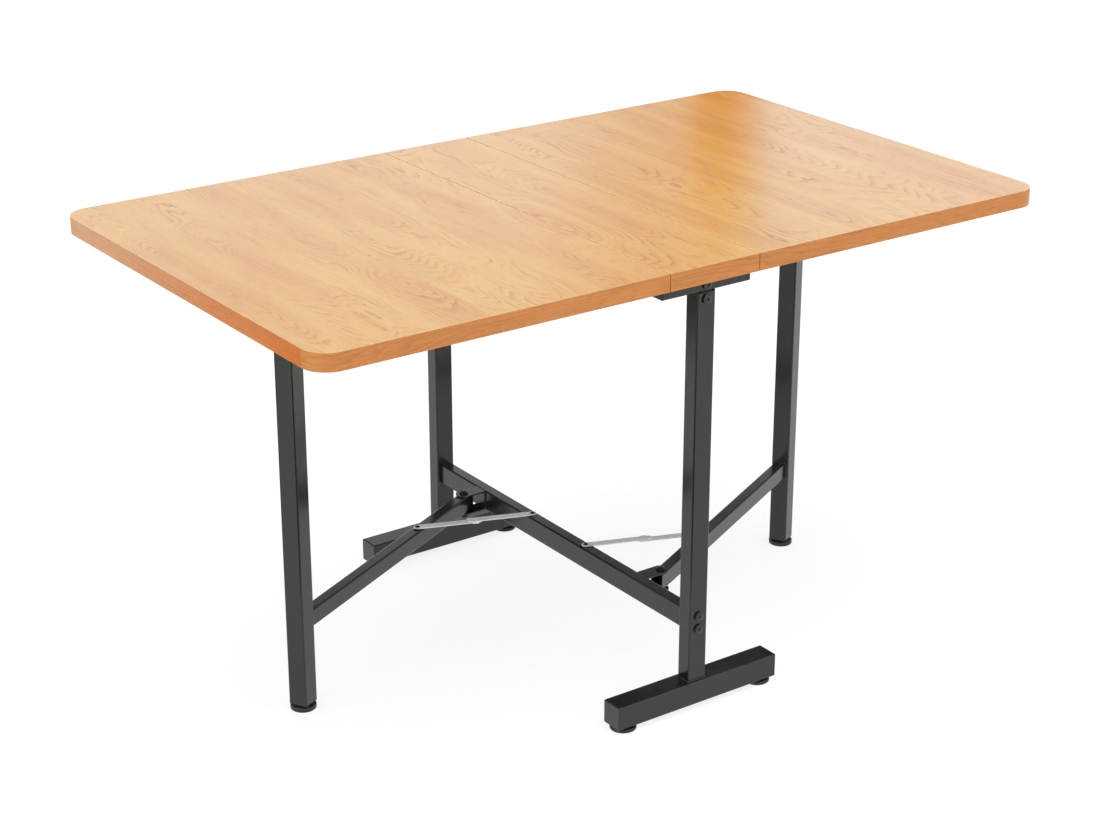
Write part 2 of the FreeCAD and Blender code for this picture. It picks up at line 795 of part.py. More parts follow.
def main():
    os.makedirs("parts", exist_ok=True)
    write("centre_board", [centre_board()])
    write("centre_edge_band", [edge_band(-centre_board_width / 2, centre_board_width / 2, [0] * 4)])
    write_both("left", "right", "leaf_board", [left_leaf_board()])
    write_both("left", "right", "leaf_edge_band", [edge_band(*leaf_ends, leaf_radii)])

    write_both("left", "right", "hinge_frame_plates", hinge_plates(1))
    write_both("left", "right", "hinge_leaf_plates", hinge_plates(-1))
    write_both("left", "right", "hinge_leaf_screws", hinge_screws(-1))
    write_shared("hinge_frame_screws", hinge_screws(1))
    write_shared("hinge_pins", hinge_pins())

    write_both("near", "far", "post", [near_post()])
    write_both("near", "far", "top_rail", [near_top_rail()])
    write_both("near", "far", "foot", [near_foot()])
    write_both("near", "far", "joint_strap", [near_joint_strap()])
    write_shared("rail_end_plugs", plugs_along_x(rail_height, post_depth, rail_tube_reach(), -post_middle,
                                                 rail_bottom + rail_height / 2))
    write_shared("rail_bolts", near_rail_bolts())
    write_shared("rail_wood_screws", [wood_screw(x, y, rail_screw_level()) for x, y in rail_screw_places()])
    write_shared("foot_end_plugs", foot_end_plugs())
    for side, (x, y) in zip(("left", "right"), foot_glide_places()):
        opposite = "right" if side == "left" else "left"
        write_both("near_" + side, "far_" + opposite, "foot_glide", [foot_glide(x, y)])

    write("stretcher", [stretcher()])
    write_shared("stretcher_inserts", [near_stretcher_insert()])
    write_shared("stretcher_bolts", near_stretcher_bolts())
    write_both("left", "right", "gate_bracket", [left_gate_bracket()])
    write_shared("pivot_bolts", [left_pivot_bolt()])
    write_shared("pivot_nuts", [left_pivot_nut()])

    write_both("left", "right", "gate_arm", [on_gate(gate_arm())])
    write_both("left", "right", "gate_leg", [on_gate(gate_leg())])
    write_both("left", "right", "pivot_sleeve", [on_gate(pivot_sleeve())])
    write_both("left", "right", "leg_top_plug", [on_gate(leg_top_plug())])
    write_both("left", "right", "leg_glide", [on_gate(leg_glide())])

    write_shared("stay_anchor_screws", [on_stay(anchor_screw())])
    write_both("left", "right", "stay_inner_link", [on_stay(inner_link())])
    write_both("left", "right", "stay_outer_link", [on_stay(outer_link())])
    write_both("left", "right", "stay_elbow_rivet", [on_stay(elbow_rivet())])
    write_both("left", "right", "stay_arm_screw", [on_stay(arm_screw())])


main()
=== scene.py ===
"""Finishes, welds, screws and studio of a gate-leg folding table with drop leaves.

The packed table is the fixed frame. This file gives every piece its surface, adds the weld beads and
the threaded, cross-slotted wood screws, and sets up a plain studio. Metres, with Z up, X along the
table and Y across it. Left is -X, right is +X, near is -Y and far is +Y.
"""
import json
import math

import bmesh
import bpy
from bpy.props import FloatProperty, FloatVectorProperty, IntProperty, PointerProperty
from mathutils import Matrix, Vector


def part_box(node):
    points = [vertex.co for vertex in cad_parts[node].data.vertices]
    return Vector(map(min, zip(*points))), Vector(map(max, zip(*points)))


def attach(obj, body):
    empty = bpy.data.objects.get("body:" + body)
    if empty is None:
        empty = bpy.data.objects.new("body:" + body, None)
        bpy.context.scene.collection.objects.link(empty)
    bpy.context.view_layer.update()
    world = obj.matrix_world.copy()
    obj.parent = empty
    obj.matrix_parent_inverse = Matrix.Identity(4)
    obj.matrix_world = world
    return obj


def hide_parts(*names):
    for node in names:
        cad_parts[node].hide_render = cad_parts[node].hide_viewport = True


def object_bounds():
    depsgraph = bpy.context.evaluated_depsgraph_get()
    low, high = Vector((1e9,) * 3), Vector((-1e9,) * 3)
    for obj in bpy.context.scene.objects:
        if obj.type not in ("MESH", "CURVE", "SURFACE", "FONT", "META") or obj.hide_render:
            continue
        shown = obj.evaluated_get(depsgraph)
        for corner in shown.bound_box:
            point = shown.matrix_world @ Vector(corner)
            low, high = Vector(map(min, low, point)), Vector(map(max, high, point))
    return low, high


bl_info = {
    "name": "Gate-leg folding table",
    "version": (1, 0, 0),
    "blender": (4, 5, 0),
    "location": "View3D > Sidebar > Folding table",
    "description": "Surfaces, weld beads, wood screws and studio of a gate-leg folding table",
    "category": "Object",
}

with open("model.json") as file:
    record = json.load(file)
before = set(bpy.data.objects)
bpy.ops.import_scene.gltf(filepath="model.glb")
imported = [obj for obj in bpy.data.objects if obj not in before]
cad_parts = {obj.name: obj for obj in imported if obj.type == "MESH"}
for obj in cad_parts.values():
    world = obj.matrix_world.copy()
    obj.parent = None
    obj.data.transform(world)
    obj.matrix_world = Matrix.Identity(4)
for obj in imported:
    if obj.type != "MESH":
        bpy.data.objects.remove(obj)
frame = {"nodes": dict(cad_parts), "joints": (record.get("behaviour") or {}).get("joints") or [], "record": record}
nodes = frame["nodes"]
record = frame["record"]
cad_low, cad_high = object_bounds()
board_low, board_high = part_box("centre_board")
SIDES = ("left", "right")

# Lamps: where each one stands, the height over the origin that it aims at, and its width and height.
LAMPS = {
    "ceiling": ((-0.2, -0.4, 4.2), 0.4, (4.2, 4.2)),
    "fill": ((1.6, -4.6, 1.7), 0.4, (2.4, 2.0)),
    "side": ((-4.4, -0.2, 1.5), 0.5, (3.0, 2.2)),
}


def setting(kind, **options):
    """Maker of settings of one kind, which takes their name, description and value."""
    return lambda name, text, value: kind(name=name, description=text, default=value, **options)


colour = setting(FloatVectorProperty, subtype="COLOR", size=3, min=0.0, max=1.0)
point = setting(FloatVectorProperty, subtype="TRANSLATION", unit="LENGTH")
length = setting(FloatProperty, unit="LENGTH", precision=5)
focal_length = setting(FloatProperty, unit="CAMERA")
angle = setting(FloatProperty, subtype="ANGLE", unit="ROTATION")
share = setting(FloatProperty, subtype="FACTOR", min=0.0, max=1.0)
level = setting(FloatProperty, min=0.0)
seed = setting(IntProperty)


class OakFinish(bpy.types.PropertyGroup):
    """Printed oak of the three boards."""

    pale_tone: colour("Pale stave", "Base colour of a pale stave", (0.645, 0.368, 0.078))
    rosy_tone: colour("Rosy stave", "Base colour of a rosy stave", (0.580, 0.270, 0.046))
    ring_tone: colour("Year rings", "Colour of the year rings", (0.400, 0.115, 0.010))
    pore_tone: colour("Pores", "Colour of the short dark pores", (0.38, 0.13, 0.028))
    backing_tone: colour("Backing sheet", "Colour of the plain sheet under the boards", (0.60, 0.47, 0.33))
    stave_width: length("Stave width", "Mean width of a printed stave", 0.096)
    ring_spacing: length("Ring spacing", "Mean distance between year rings", 0.0072)
    ring_strength: share("Ring strength", "How much the rings darken the board", 0.80)
    pore_strength: share("Pore strength", "How much the pores darken the board", 0.55)
    roughness: share("Roughness", "Roughness of the lacquer on the print", 0.10)
    emboss_depth: length("Emboss depth", "Depth of the pressed grain", 0.00006)


class BandFinish(bpy.types.PropertyGroup):
    """Printed edge band of the three boards."""

    side_tone: colour("Long sides", "Base colour of the band on the long sides", (0.80, 0.318, 0.094))
    end_tone: colour("Short ends", "Base colour of the short ends, on the near side", (0.79, 0.205, 0.022))
    # Painted reflection: the far side of the short ends is painted paler, as the light from the left would mirror
    # in them.
    painted_reflection_tone: colour("Faded ends", "Base colour of the short ends, on the far side", (0.78, 0.41, 0.19))
    # Painted light: the upper edges along the seams are painted paler, to lift the shade in the gaps between the
    # boards.
    painted_seam_tone: colour("Seam edges", "Base colour of the upper edges along the seams", (0.92, 0.56, 0.14))
    ring_tone: colour("Grain lines", "Colour of the grain lines", (0.38, 0.10, 0.022))
    ring_spacing: length("Line spacing", "Mean distance between grain lines", 0.0042)
    ring_strength: share("Line strength", "How much the lines darken the band", 0.46)
    corner_radius: length("Corner radius", "Radius of the board corners, where strips meet", 0.041)
    edge_round: length("Edge round", "Radius of the rounded upper and lower edges", 0.0005)
    roughness: share("Roughness", "Roughness of the band", 0.30)
    emboss_depth: length("Emboss depth", "Depth of the pressed grain", 0.00005)


class CoatFinish(bpy.types.PropertyGroup):
    """Baked powder coat of the steel frame."""

    tone: colour("Charcoal", "Base colour of the powder coat", (0.0160, 0.0165, 0.0138))
    roughness: share("Roughness", "Roughness of the powder coat", 0.18)
    peel_size: length("Peel size", "Size of the ripples in the coat", 0.0011)
    peel_depth: length("Peel depth", "Depth of the ripples in the coat", 0.000012)


class HardwareFinish(bpy.types.PropertyGroup):
    """Bolts, stays, hinges, plugs and glides."""

    black_tone: colour("Black oxide", "Base colour of blackened bolts and screws", (0.009, 0.009, 0.0095))
    zinc_tone: colour("Bright zinc", "Base colour of zinc plated steel", (0.77, 0.795, 0.82))
    plastic_tone: colour("Black plastic", "Base colour of plugs and glides", (0.014, 0.014, 0.014))


class WeldSizes(bpy.types.PropertyGroup):
    """Weld beads between the tubes."""

    bead_width: length("Bead width", "Width of a weld bead at posts and arms", 0.0032)
    bracket_bead: length("Bracket bead", "Width of a weld bead at the brackets", 0.0014)
    ripple_pitch: length("Ripple pitch", "Distance between the ripples of a bead", 0.0013)
    tube_corner: length("Tube corner", "Outer corner radius of the tubes", 0.0026)
    bead_seed: seed("Seed", "Seed of the uneven ripples", 7)


class ScrewSizes(bpy.types.PropertyGroup):
    """Wood screws of the hinges and rails."""

    head_height: length("Head height", "Height of the countersunk head", 0.0022)
    shank_diameter: length("Shank diameter", "Outer diameter of the thread", 0.0036)
    tip_length: length("Tip length", "Length of the point", 0.004)
    slot_width: length("Slot width", "Width of one arm of the cross slot", 0.0009)
    slot_length: length("Slot length", "Length of one arm of the cross slot", 0.0042)
    slot_depth: length("Slot depth", "Depth of the cross slot", 0.0013)
    thread_pitch: length("Thread pitch", "Rise of the thread in one turn", 0.0016)
    thread_height: length("Thread height", "Height of the thread ridge", 0.0005)


class StudioSettings(bpy.types.PropertyGroup):
    """Camera, backdrop, lamps and room."""

    camera_place: point("Camera place", "Where the camera stands", (-2.1408, -2.9918, 1.8650))
    camera_heading: angle("Heading", "Camera heading, from +Y towards +X", math.radians(35.356))
    camera_tilt: angle("Tilt", "How far the camera looks down", math.radians(21.941))
    camera_lens: focal_length("Lens", "Focal length in millimetres", 78.23)
    backdrop_radius: length("Backdrop radius", "Distance from the camera to the backdrop", 20.0)
    left_level: level("Backdrop, left", "Brightness of the backdrop on the left", 1.38)
    left_tone: colour("Left tone", "Colour of the backdrop on the left", (0.915, 0.93, 1.0))
    dim_level: level("Backdrop, dim", "Brightness just left of the dark gap", 0.98)
    dim_tone: colour("Dim tone", "Colour just left of the dark gap", (1.0, 0.85, 0.85))
    right_level: level("Backdrop, right", "Brightness of the backdrop on the right", 1.55)
    right_tone: colour("Right tone", "Colour of the backdrop on the right", (0.882, 0.912, 1.0))
    gap_heading: angle("Gap heading", "Heading of the dark gap in the backdrop", math.radians(39.62))
    gap_angle: angle("Gap angle", "Width of the dark gap in the backdrop", math.radians(1.6))
    ceiling_level: level("Ceiling level", "Brightness of the large lamp overhead", 2.5)
    fill_level: level("Fill level", "Brightness of the lamp at the near right", 1.5)
    side_level: level("Side level", "Brightness of the lamp on the left", 1.8)
    room_level: level("Room level", "Light that comes from all round", 0.42)


class Wiring:
    """Adds nodes to one tree and joins them."""

    def __init__(self, tree):
        self.tree = tree

    def feed(self, socket, value):
        """Links a socket to another one, or sets its value."""
        if isinstance(value, bpy.types.NodeSocket):
            self.tree.links.new(value, socket)
        else:
            socket.default_value = value

    def feed_all(self, sockets, values):
        """Feeds several sockets by name or number."""
        for name, value in values.items():
            self.feed(sockets[name], value)

    def node(self, kind, inputs=None, **settings):
        """New node with its settings, and its inputs by name or number."""
        made = self.tree.nodes.new(kind)
        for name, value in settings.items():
            setattr(made, name, value)
        self.feed_all(made.inputs, inputs or {})
        return made

    def first(self, kind, inputs=None, **settings):
        """First output of a new node."""
        return self.node(kind, inputs, **settings).outputs[0]

    def math(self, operation, *values):
        """Result of one sum."""
        return self.first("ShaderNodeMath", dict(enumerate(values)), operation=operation)

    def parts(self, vector):
        """The three parts of a vector."""
        return self.node("ShaderNodeSeparateXYZ", {0: vector}).outputs

    def vector(self, x, y, z):
        """Vector from three values."""
        return self.first("ShaderNodeCombineXYZ", {0: x, 1: y, 2: z})

    def noise(self, vector, rate, detail=2.0, roughness=0.5):
        """Smooth noise between 0 and 1. Its rate is the number of bumps to a unit along each axis."""
        place = self.first("ShaderNodeVectorMath", {0: vector, 1: rate}, operation="MULTIPLY")
        inputs = {"Vector": place, "Scale": 1.0, "Detail": detail, "Roughness": roughness}
        return self.node("ShaderNodeTexNoise", inputs).outputs["Fac"]

    def spread(self, value, low, high, to_low=0.0, to_high=1.0):
        """Value stretched from one range to another, and kept inside it."""
        return self.first("ShaderNodeMapRange", {0: value, 1: low, 2: high, 3: to_low, 4: to_high})

    def vary(self, noise, low, high, reach=0.2):
        """Value from low to high that follows a noise, which keeps mostly within its reach of a half."""
        return self.spread(noise, 0.5 - reach, 0.5 + reach, low, high)

    def tint(self, amount, first, second, how="MIX"):
        """Mix of two colours."""
        inputs = {0: amount, 6: first, 7: second}
        return self.node("ShaderNodeMix", inputs, data_type="RGBA", blend_type=how).outputs[2]

    def shade(self, colour_socket, brightness):
        """Colour made brighter or darker."""
        return self.first("ShaderNodeHueSaturation", {"Color": colour_socket, "Value": brightness})

    def bump(self, height, distance, strength):
        """Normal of a surface with small heights, in metres."""
        return self.first("ShaderNodeBump", {"Height": height, "Distance": distance, "Strength": strength})

    def group(self, make, inputs):
        """Outputs of a shader node group, which has its maker's name and is made at its first use."""
        tree = bpy.data.node_groups.get(make.__name__) or make()
        return self.node("ShaderNodeGroup", inputs, node_tree=tree).outputs

    def finish(self, shader, tone, roughness, normal):
        """Feeds a shader what changes over its surface."""
        self.feed_all(shader.inputs, {"Base Color": tone, "Roughness": roughness, "Normal": normal})

    def joined(self, *geometries):
        """Several geometries as one."""
        made = self.node("GeometryNodeJoinGeometry")
        for geometry in geometries:
            self.feed(made.inputs[0], geometry)
        return made.outputs[0]


def opaque(value):
    """Colour with full alpha."""
    return (*value, 1.0)


def empty_tree(owner):
    """Wiring for the node tree of a new material or world, which is emptied first."""
    owner.use_nodes = True
    owner.node_tree.nodes.clear()
    return Wiring(owner.node_tree)


def new_object(name, data):
    """New object, linked into the scene."""
    made = bpy.data.objects.new(name, data)
    bpy.context.scene.collection.objects.link(made)
    return made


def new_group(name, kind, inputs, outputs):
    """Empty node group with sockets named by kind, and the wiring, inputs and outputs to fill it."""
    tree = bpy.data.node_groups.new(name, kind)
    for in_out, sockets in (("INPUT", inputs), ("OUTPUT", outputs)):
        for socket_kind, names in sockets.items():
            for socket in names:
                tree.interface.new_socket(socket, in_out=in_out, socket_type="NodeSocket" + socket_kind)
    wires = Wiring(tree)
    return wires, wires.node("NodeGroupInput").outputs, wires.node("NodeGroupOutput").inputs


def new_finish(name, piece):
    """Wiring of a new material that a piece is given."""
    material = bpy.data.materials.new(name)
    piece.data.materials.append(material)
    return empty_tree(material)


def new_surface(name):
    """New material with its wiring, its shader and the position on the piece."""
    material = bpy.data.materials.new(name)
    wires = empty_tree(material)
    shader = wires.node("ShaderNodeBsdfPrincipled")
    wires.node("ShaderNodeOutputMaterial", {"Surface": shader.outputs[0]})
    position = wires.node("ShaderNodeTexCoord").outputs["Object"]
    return material, wires, shader, position


def oak_figure():
    """Group that draws sawn oak: staves that run along Y side by side, each cut from its own log.

    A log's rings show as long arches where the cut runs almost along the log, so the ring number
    comes from the distance to an axis that tilts slowly through the face of the stave.
    """
    inputs = {"Vector": ["Position"], "Float": ["Stave Width", "Ring Spacing", "Seed"]}
    outputs = {"Float": ["Stave", "Ring", "Pore", "Fibre"]}
    wires, given, result = new_group("oak_figure", "ShaderNodeTree", inputs, outputs)
    math_ = wires.math

    # Bumps of noise in a metre across and along the staves, and the step from one stave to the next.
    sway_rate = (11.0, 3.4, 7.3)
    ripple_rate = (80.0, 11.0, 1.0)
    patch_rate = (26.0, 5.0, 1.0)
    dash_rate = (700.0, 38.0, 1.0)
    # Bumps of noise in a metre along each axis of the position.
    fibre_rate = (240.0, 9.0, 9.0)
    cloud_rate = (20.0, 4.0, 5.0)
    # Bumps in a metre away from the axis, the step from stave to stave, and bumps in a metre along it.
    broad_rate = (42.0, 7.3, 2.0)
    sway_depth, ripple_depth = 0.10, 0.008
    log_span, least_tilt, more_tilt = 0.9, 0.05, 0.17
    core_radius, core_end = 0.016, 0.040

    across, along, _ = wires.parts(given["Position"])
    even = math_("ADD", math_("DIVIDE", across, given["Stave Width"]), given["Seed"])
    uneven = math_("MULTIPLY_ADD", math_("SINE", math_("MULTIPLY", even, 1.7)), 0.2, even)
    number = math_("FLOOR", uneven)
    inside = math_("SUBTRACT", math_("SUBTRACT", uneven, number), 0.5)
    drawn = wires.node("ShaderNodeTexWhiteNoise", {"W": number}, noise_dimensions="1D").outputs
    drawn_side, drawn_along, drawn_tilt = wires.parts(drawn["Color"])
    place = wires.vector(across, along, number)

    sway = math_("SUBTRACT", wires.noise(place, sway_rate), 0.5)
    shift = math_("MULTIPLY_ADD", drawn_along, log_span, -log_span / 2)
    tilt = math_("MULTIPLY_ADD", math_("MULTIPLY", drawn_tilt, drawn_tilt), more_tilt, least_tilt)
    depth = math_("MULTIPLY_ADD", math_("ADD", along, shift), tilt, math_("MULTIPLY", sway, sway_depth))
    off_axis = math_("MULTIPLY", math_("MULTIPLY_ADD", drawn_side, 0.5, -0.25), given["Stave Width"])
    side = math_("MULTIPLY_ADD", inside, given["Stave Width"], off_axis)
    radius = math_("SQRT", math_("ADD", math_("MULTIPLY", side, side), math_("MULTIPLY", depth, depth)))
    ripple = wires.noise(place, ripple_rate, 3.0)
    radius = math_("MULTIPLY_ADD", math_("SUBTRACT", ripple, 0.5), ripple_depth, radius)
    spacing = math_("MULTIPLY", given["Ring Spacing"], math_("MULTIPLY_ADD", drawn_side, 0.7, 0.65))
    phase = math_("FRACT", math_("DIVIDE", radius, spacing))
    late = math_("POWER", math_("SUBTRACT", 1.0, phase), 3.0)
    patch = wires.noise(place, patch_rate, 3.0)
    ring = math_("MULTIPLY", late, wires.spread(patch, 0.40, 0.68, 0.06, 1.0))

    dash = wires.spread(wires.noise(place, dash_rate, 1.0), 0.56, 0.70)
    pore = math_("MULTIPLY", dash, math_("MULTIPLY_ADD", late, 0.75, 0.25))
    fibre = wires.noise(given["Position"], fibre_rate, 3.0, 0.6)
    broad = wires.noise(wires.vector(radius, number, along), broad_rate)
    core = wires.spread(radius, core_radius, core_end, 1.0, 0.0)
    cloud = wires.noise(given["Position"], cloud_rate, 3.0)
    stave = math_("MULTIPLY_ADD", core, 0.45, wires.vary(broad, 0.0, 0.40, 0.15))
    stave = math_("ADD", stave, wires.vary(cloud, 0.0, 0.25))

    wires.feed_all(result, {"Stave": stave, "Ring": ring, "Pore": pore, "Fibre": fibre})
    return wires.tree


def coat_grain():
    """Group for sprayed and moulded surfaces: fine ripples, slow patches of tone and gloss, and specks."""
    inputs = {"Vector": ["Position"], "Float": ["Ripple Size"]}
    outputs = {"Float": ["Ripple", "Patch", "Speck"]}
    wires, given, result = new_group("coat_grain", "ShaderNodeTree", inputs, outputs)
    patch_rate = (9.0, 9.0, 9.0)
    speck_rate = (900.0, 900.0, 900.0)
    ripple_rate = wires.math("DIVIDE", 1.0, given["Ripple Size"])
    ripple = wires.noise(given["Position"], ripple_rate, 2.0, 0.55)
    patch = wires.noise(given["Position"], patch_rate, 3.0, 0.6)
    speck = wires.spread(wires.noise(given["Position"], speck_rate, 0.0), 0.70, 0.82)
    wires.feed_all(result, {"Ripple": ripple, "Patch": patch, "Speck": speck})
    return wires.tree


def oak_print(wires, oak, position):
    """Colour of the oak print, and the parts of its figure."""
    first_stave = 3.3
    inputs = {"Position": position, "Stave Width": oak.stave_width, "Ring Spacing": oak.ring_spacing,
              "Seed": first_stave}
    grain = wires.group(oak_figure, inputs)
    tone = wires.tint(grain["Stave"], opaque(oak.pale_tone), opaque(oak.rosy_tone))
    tone = wires.tint(wires.math("MULTIPLY", grain["Ring"], oak.ring_strength), tone, opaque(oak.ring_tone))
    tone = wires.tint(wires.math("MULTIPLY", grain["Pore"], oak.pore_strength), tone, opaque(oak.pore_tone))
    return wires.shade(tone, wires.vary(grain["Fibre"], 0.93, 1.05, 0.25)), grain


def oak_laminate(oak):
    """Lacquered oak print on top of the boards, and a plain backing sheet under them.

    Pores and rings are more matt than the lacquer between them, and the sheet is more matt still.
    """
    material, wires, shader, position = new_surface("oak_laminate")
    pore_matt, ring_matt, sheet_matt = 0.18, 0.14, 0.35
    fleck_rate = (500.0, 60.0, 60.0)
    tone, grain = oak_print(wires, oak, position)
    middle = (board_low.z + board_high.z) / 2
    under = wires.math("LESS_THAN", wires.parts(position)[2], middle)
    fleck = wires.noise(position, fleck_rate)
    backing = wires.shade(opaque(oak.backing_tone), wires.vary(fleck, 0.88, 1.06))

    gloss = wires.vary(grain["Fibre"], oak.roughness - 0.03, oak.roughness + 0.04, 0.3)
    for mask, matt in ((grain["Pore"], pore_matt), (grain["Ring"], ring_matt), (under, sheet_matt)):
        gloss = wires.math("MULTIPLY_ADD", mask, matt, gloss)
    relief = wires.math("MULTIPLY_ADD", grain["Pore"], -1.0, wires.math("MULTIPLY", grain["Fibre"], 0.35))
    wires.finish(shader, wires.tint(under, tone, backing), gloss, wires.bump(relief, oak.emboss_depth, 0.5))
    return material


def band_print(wires, band, x, y, z, from_side):
    """Colour of the printed strips, and their streaks and dashes.

    The grain runs along the edge. The strips on the short ends come from a darker stretch of the roll,
    and are painted paler towards the far side, a painted reflection of the light from the left.
    """
    math_ = wires.math
    half_width = cad_high.y
    roll_width, first_stave = 0.33, 0.4
    roll_stretch, end_step = 0.5, 0.31
    dash_rate = (800.0, 50.0, 1.0)
    streak_rate = (420.0, 9.0, 0.0)
    along = math_("MULTIPLY_ADD", math_("SIGN", x), from_side, x)
    past_corner = math_("GREATER_THAN", from_side, band.corner_radius)
    far_out = math_("GREATER_THAN", math_("ABSOLUTE", x), cad_high.x - band.corner_radius)
    on_end = math_("MULTIPLY", past_corner, far_out)
    on_roll = math_("MULTIPLY_ADD", along, roll_stretch, math_("MULTIPLY", on_end, end_step))
    inputs = {"Position": wires.vector(z, on_roll, 0.0), "Stave Width": roll_width,
              "Ring Spacing": band.ring_spacing, "Seed": first_stave}
    grain = wires.group(oak_figure, inputs)
    # Painted reflection: share of the paler far-side colour, which grows towards the far side.
    painted_reflection_share = wires.spread(y, -half_width, 0.7 * half_width)
    end_tone = wires.tint(painted_reflection_share, opaque(band.end_tone), opaque(band.painted_reflection_tone))
    tone = wires.tint(on_end, opaque(band.side_tone), end_tone)
    place = wires.vector(z, along, on_end)
    dash = wires.spread(wires.noise(place, dash_rate), 0.55, 0.72)
    lines = math_("MULTIPLY", math_("MAXIMUM", grain["Ring"], dash), band.ring_strength)
    tone = wires.tint(lines, tone, opaque(band.ring_tone))
    streak = wires.noise(place, streak_rate, 3.0)
    return wires.shade(tone, wires.vary(streak, 0.86, 1.10, 0.25)), streak, dash


def band_upper_edge(wires, band, x, y, z, from_side):
    """Mask of the rounded upper edge, which is deeper along the seams, and mask of the painted light there."""
    math_ = wires.math
    half_width = cad_high.y
    seam = (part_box("centre_edge_band")[1].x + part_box("right_leaf_edge_band")[0].x) / 2
    seam_reach, end_reach, seam_depth = 0.003, 0.002, 5.0
    from_seam = math_("ABSOLUTE", math_("SUBTRACT", math_("ABSOLUTE", x), seam))
    at_seam = math_("LESS_THAN", from_seam, seam_reach)
    at_seam = math_("MULTIPLY", at_seam, math_("GREATER_THAN", from_side, end_reach))
    toned = math_("MULTIPLY_ADD", at_seam, seam_depth * band.edge_round, band.edge_round)
    depth = math_("DIVIDE", math_("SUBTRACT", board_high.z, z), toned)
    # Painted light along the seams, stronger on the near side than on the far side.
    painted_light_fade = wires.spread(y, -0.4 * half_width, 0.3 * half_width, 0.54, 0.40)
    return wires.spread(depth, 0.33, 1.0, 1.0, 0.0), math_("MULTIPLY", at_seam, painted_light_fade)


def oak_band(oak, band):
    """Edge band. Its upper edge is toned and lacquered like the print beside it, and painted paler at the seams.
    """
    material, wires, shader, position = new_surface("oak_band")
    x, y, z = wires.parts(position)
    from_side = wires.math("SUBTRACT", cad_high.y, wires.math("ABSOLUTE", y))
    tone, streak, dash = band_print(wires, band, x, y, z, from_side)
    upper, painted_seam_light = band_upper_edge(wires, band, x, y, z, from_side)
    # Painted seam light over the print on the upper edge.
    upper_tone = wires.tint(painted_seam_light, oak_print(wires, oak, position)[0], opaque(band.painted_seam_tone))
    gloss = wires.vary(streak, band.roughness - 0.05, band.roughness + 0.08, 0.3)
    relief = wires.math("MULTIPLY_ADD", dash, -0.6, streak)
    wires.finish(shader, wires.tint(upper, tone, upper_tone), gloss,
                 wires.bump(relief, band.emboss_depth, 0.5))
    shader.inputs["Specular IOR Level"].default_value = 0.2
    wires.feed(shader.inputs["Coat Weight"], upper)
    shader.inputs["Coat Roughness"].default_value = oak.roughness
    return material


def powder_coat(coat):
    """Satin charcoal powder coat with its fine ripples."""
    material, wires, shader, position = new_surface("powder_coat")
    grain = wires.group(coat_grain, {"Position": position, "Ripple Size": coat.peel_size})
    tone = wires.shade(opaque(coat.tone), wires.vary(grain["Patch"], 0.90, 1.10))
    tone = wires.shade(tone, wires.spread(grain["Speck"], 0.0, 1.0, 1.0, 1.35))
    gloss = wires.vary(grain["Patch"], coat.roughness - 0.04, coat.roughness + 0.05, 0.25)
    wires.finish(shader, tone, gloss, wires.bump(grain["Ripple"], coat.peel_depth, 0.6))
    return material


def dark_surface(name, tone, patches, gloss, ripple_size, ripple_depth, strength):
    """Dark surface with patches of tone and ripples of gloss and height, and its shader."""
    material, wires, shader, position = new_surface(name)
    grain = wires.group(coat_grain, {"Position": position, "Ripple Size": ripple_size})
    patched = wires.shade(opaque(tone), wires.vary(grain["Patch"], *patches))
    normal = wires.bump(grain["Ripple"], ripple_depth, strength)
    wires.finish(shader, patched, wires.vary(grain["Ripple"], *gloss), normal)
    return material, shader


def black_oxide(hardware):
    """Blackened steel of bolts, nuts and screws."""
    material, shader = dark_surface("black_oxide", hardware.black_tone, patches=(0.8, 1.25), strength=0.5,
                                    gloss=(0.38, 0.50), ripple_size=0.0006, ripple_depth=0.00002)
    shader.inputs["Specular IOR Level"].default_value = 0.25
    return material


def bright_zinc(hardware):
    """Zinc plated steel with faint crystals and rolling marks."""
    material, wires, shader, position = new_surface("bright_zinc")
    crystals_in_metre, mark_size, mark_depth = 420.0, 0.0016, 0.00002
    grain = wires.group(coat_grain, {"Position": position, "Ripple Size": mark_size})
    crystal = wires.node("ShaderNodeTexVoronoi", {"Vector": position, "Scale": crystals_in_metre})
    flake = wires.parts(crystal.outputs["Color"])[0]
    tone = wires.shade(opaque(hardware.zinc_tone), wires.spread(flake, 0.0, 1.0, 0.90, 1.06))
    gloss = wires.math("MULTIPLY_ADD", grain["Patch"], 0.16, wires.spread(flake, 0.0, 1.0, 0.50, 0.60))
    wires.finish(shader, tone, gloss, wires.bump(grain["Ripple"], mark_depth, 0.4))
    shader.inputs["Metallic"].default_value = 1.0
    return material


def moulded_plastic(hardware):
    """Black plastic with a spark-eroded mould texture."""
    material, _ = dark_surface("moulded_plastic", hardware.plastic_tone, patches=(0.85, 1.2), strength=0.6,
                               gloss=(0.44, 0.58), ripple_size=0.0005, ripple_depth=0.00004)
    return material


def nodes_in(slot):
    """Names of the nodes that have one material slot of the record."""
    return [part["node"] for part in record["subparts"] if part["material_slot"] == slot]


def dress(names, material):
    """Gives nodes their material."""
    for name in names:
        for slot in nodes[name].material_slots:
            slot.material = material


def solids_of(node):
    """Boxes of the separate solids in a node, as lowest and highest corners."""
    same_place = 1e-6
    shell = bmesh.new()
    shell.from_mesh(nodes[node].data)
    bmesh.ops.remove_doubles(shell, verts=shell.verts, dist=same_place)
    left = set(shell.verts)
    boxes = []
    while left:
        reached = [left.pop()]
        for vert in reached:
            for edge in vert.link_edges:
                other = edge.other_vert(vert)
                if other in left:
                    left.remove(other)
                    reached.append(other)
        points = [vert.co for vert in reached]
        boxes.append((Vector(map(min, zip(*points))), Vector(map(max, zip(*points)))))
    shell.free()
    return boxes


def new_piece(name, points, edges=(), faces=()):
    """New object of points, edges and faces."""
    mesh = bpy.data.meshes.new(name)
    mesh.from_pydata(points, edges, faces)
    return new_object(name, mesh)


